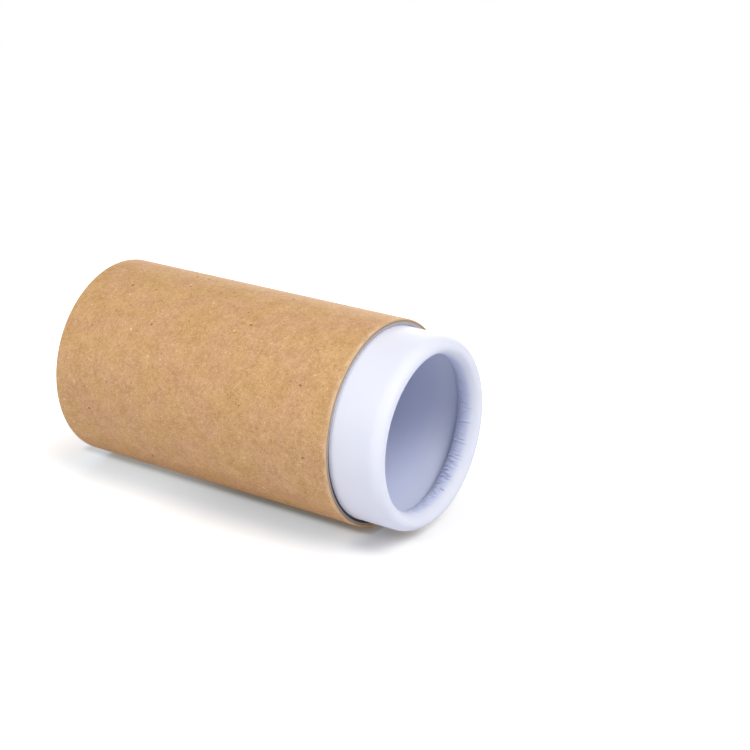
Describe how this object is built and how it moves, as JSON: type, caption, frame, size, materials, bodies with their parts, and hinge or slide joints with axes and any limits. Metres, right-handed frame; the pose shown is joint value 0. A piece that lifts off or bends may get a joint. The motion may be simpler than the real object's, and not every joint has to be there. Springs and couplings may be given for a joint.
{
  "type": "paper tube gift box",
  "caption": "Round kraft paperboard tube with a white inner tube that stands out of its mouth as a neck for a slip-on lid and ends in a rim rolled inwards.",
  "frame": {"origin": "centre of the tube's foot, on the plane that it stands on", "axes": "+Z along the tube's axis, from the foot to the mouth; the tube is round, so X and Y are alike"},
  "size_m": [0.042, 0.042, 0.08],
  "materials": {
    "kraft_board": "matte",
    "white_paper": "satin",
    "base_board": "matte"
  },
  "bodies": {
    "root": {"outer_tube": "kraft_board", "inner_tube": "white_paper", "base_disc": "base_board"}
  },
  "joints": []
}
